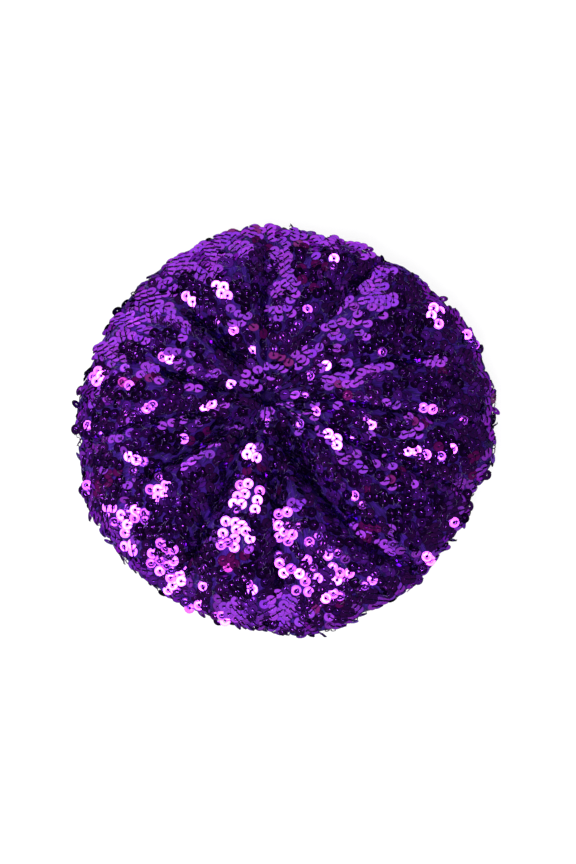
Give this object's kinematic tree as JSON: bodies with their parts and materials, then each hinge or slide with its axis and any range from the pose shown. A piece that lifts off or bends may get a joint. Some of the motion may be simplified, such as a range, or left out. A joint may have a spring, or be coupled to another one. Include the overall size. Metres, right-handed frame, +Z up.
{
  "type": "sequin beret",
  "caption": "Soft round beret of purple sequin cloth, gathered to a point on top, with a puffed drooping rim and a plain elastic band round its head opening.",
  "frame": {"origin": "under the middle of the hat's outline, on the surface that it rests on", "axes": "+Z up out of the top of the crown, -Y towards the front, as the picture shows the hat from above and a little in front, and +X to the right"},
  "size_m": [0.2312, 0.23, 0.0592],
  "materials": {
    "sequin_cloth": "stretch knit covered in overlapping glossy purple sequins",
    "elastic_knit": "matt ribbed elastic knit"
  },
  "bodies": {
    "root": {"crown": "sequin_cloth", "head_band": "elastic_knit"}
  },
  "joints": []
}
